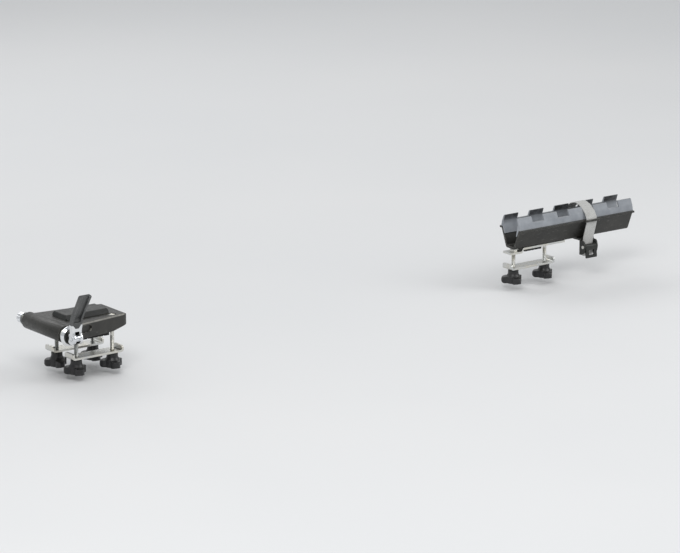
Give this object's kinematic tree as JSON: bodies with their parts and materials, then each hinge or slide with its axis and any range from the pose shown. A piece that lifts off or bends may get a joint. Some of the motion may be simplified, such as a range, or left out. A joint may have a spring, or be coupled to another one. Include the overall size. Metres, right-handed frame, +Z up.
{
  "type": "roof mounted bike carrier",
  "caption": "Roof bar bicycle carrier: a fork block with a quick-release skewer and a V-shaped wheel tray with rubber fingers and strap, each clamped to its bar by lobed knobs.",
  "frame": {"origin": "middle of the front bar pad's underside, where it sits on the front roof bar", "axes": "+X from the front bar to the rear bar, +Y to the side away from the lever, +Z up"},
  "size_m": [1.061, 0.1732, 0.1333],
  "materials": {
    "black_nylon": "moulded, fine texture",
    "black_plastic": "moulded, satin",
    "knob_plastic": "moulded, slightly glossy",
    "black_rubber": "matt",
    "grey_rubber": "matt",
    "lever_grey": "satin paint",
    "zinc_steel": "bright zinc plating",
    "chrome": "polished",
    "brass": "turned",
    "webbing": "woven"
  },
  "bodies": {
    "carrier": {"fork_block": "black_nylon", "block_cover": "black_plastic", "front_bar_pad": "black_rubber", "axle_sleeve": "zinc_steel", "axle_washers": "zinc_steel", "front_bolts": "zinc_steel", "wheel_tray": "black_nylon", "near_finger_strip": "grey_rubber", "far_finger_strip": "grey_rubber", "tray_bracket": "zinc_steel", "rear_bar_pad": "black_rubber", "tray_rivets": "zinc_steel", "rear_bolts": "zinc_steel", "wheel_strap": "webbing", "strap_rivet": "zinc_steel", "buckle_frame": "black_plastic", "buckle_rivets": "zinc_steel", "buckle_pin": "zinc_steel"},
    "skewer": {"skewer_rod": "zinc_steel", "cam_pivot": "chrome", "skewer_springs": "zinc_steel"},
    "cam_seat": {"cam_seat": "black_plastic", "cam_washer": "chrome"},
    "lever": {"cam_lever": "chrome", "lever_grip": "lever_grey"},
    "nut": {"skewer_nut": "chrome"},
    "buckle_lever": {"buckle_lever": "black_plastic"},
    "near_clamp": {"near_clamp_plate": "zinc_steel", "near_clamp_washers": "zinc_steel"},
    "near_front_knob": {"near_front_knob": "knob_plastic", "near_front_insert": "brass"},
    "near_rear_knob": {"near_rear_knob": "knob_plastic", "near_rear_insert": "brass"},
    "far_clamp": {"far_clamp_plate": "zinc_steel", "far_clamp_washers": "zinc_steel"},
    "far_front_knob": {"far_front_knob": "knob_plastic", "far_front_insert": "brass"},
    "far_rear_knob": {"far_rear_knob": "knob_plastic", "far_rear_insert": "brass"},
    "rear_clamp": {"rear_clamp_plate": "zinc_steel", "rear_clamp_washers": "zinc_steel"},
    "tray_front_knob": {"tray_front_knob": "knob_plastic", "tray_front_insert": "brass"},
    "tray_rear_knob": {"tray_rear_knob": "knob_plastic", "tray_rear_insert": "brass"}
  },
  "joints": [
    {"name": "skewer_spin", "type": "hinge", "parent": "carrier", "child": "skewer", "pos_m": [-0.061, 0, 0.018], "axis": [0, 1, 0], "continuous": true},
    {"name": "lever_flip", "type": "hinge", "parent": "skewer", "child": "lever", "pos_m": [-0.061, -0.07335, 0.018], "axis": [1, 0, 0], "range_deg": [0, 180]},
    {"name": "cam_seat_slide", "type": "slide", "parent": "skewer", "child": "cam_seat", "axis": [0, -1, 0], "range_m": [0, 0.0014]},
    {"name": "nut_turn", "type": "hinge", "parent": "skewer", "child": "nut", "pos_m": [-0.061, 0.063, 0.018], "axis": [0, 1, 0], "continuous": true},
    {"name": "buckle_lever_flip", "type": "hinge", "parent": "carrier", "child": "buckle_lever", "pos_m": [0.89945, -0.0242, -0.006], "axis": [-1, 0, 0], "range_deg": [0, 110]},
    {"name": "near_clamp_slide", "type": "slide", "parent": "carrier", "child": "near_clamp", "axis": [0, 0, -1], "range_m": [0, 0.0092]},
    {"name": "near_front_knob_turn", "type": "hinge", "parent": "near_clamp", "child": "near_front_knob", "pos_m": [-0.03, -0.025, -0.04], "axis": [0, 0, -1], "range_deg": [0, 3315]},
    {"name": "near_rear_knob_turn", "type": "hinge", "parent": "near_clamp", "child": "near_rear_knob", "pos_m": [0.03, -0.025, -0.04], "axis": [0, 0, -1], "range_deg": [0, 3315]},
    {"name": "far_clamp_slide", "type": "slide", "parent": "carrier", "child": "far_clamp", "axis": [0, 0, -1], "range_m": [0, 0.0092]},
    {"name": "far_front_knob_turn", "type": "hinge", "parent": "far_clamp", "child": "far_front_knob", "pos_m": [-0.03, 0.025, -0.04], "axis": [0, 0, -1], "range_deg": [0, 3315]},
    {"name": "far_rear_knob_turn", "type": "hinge", "parent": "far_clamp", "child": "far_rear_knob", "pos_m": [0.03, 0.025, -0.04], "axis": [0, 0, -1], "range_deg": [0, 3315]},
    {"name": "rear_clamp_slide", "type": "slide", "parent": "carrier", "child": "rear_clamp", "axis": [0, 0, -1], "range_m": [0, 0.0092]},
    {"name": "tray_front_knob_turn", "type": "hinge", "parent": "rear_clamp", "child": "tray_front_knob", "pos_m": [0.77, 0, -0.04], "axis": [0, 0, -1], "range_deg": [0, 3315]},
    {"name": "tray_rear_knob_turn", "type": "hinge", "parent": "rear_clamp", "child": "tray_rear_knob", "pos_m": [0.83, 0, -0.04], "axis": [0, 0, -1], "range_deg": [0, 3315]}
  ],
  "couplings": [
    {"joint": "cam_seat_slide", "follows": "lever_flip", "m_per_rad": 0.0004456},
    {"joint": "near_front_knob_turn", "follows": "near_clamp_slide", "rad_per_m": 6283.2},
    {"joint": "near_rear_knob_turn", "follows": "near_clamp_slide", "rad_per_m": 6283.2},
    {"joint": "far_front_knob_turn", "follows": "far_clamp_slide", "rad_per_m": 6283.2},
    {"joint": "far_rear_knob_turn", "follows": "far_clamp_slide", "rad_per_m": 6283.2},
    {"joint": "tray_front_knob_turn", "follows": "rear_clamp_slide", "rad_per_m": 6283.2},
    {"joint": "tray_rear_knob_turn", "follows": "rear_clamp_slide", "rad_per_m": 6283.2}
  ]
}
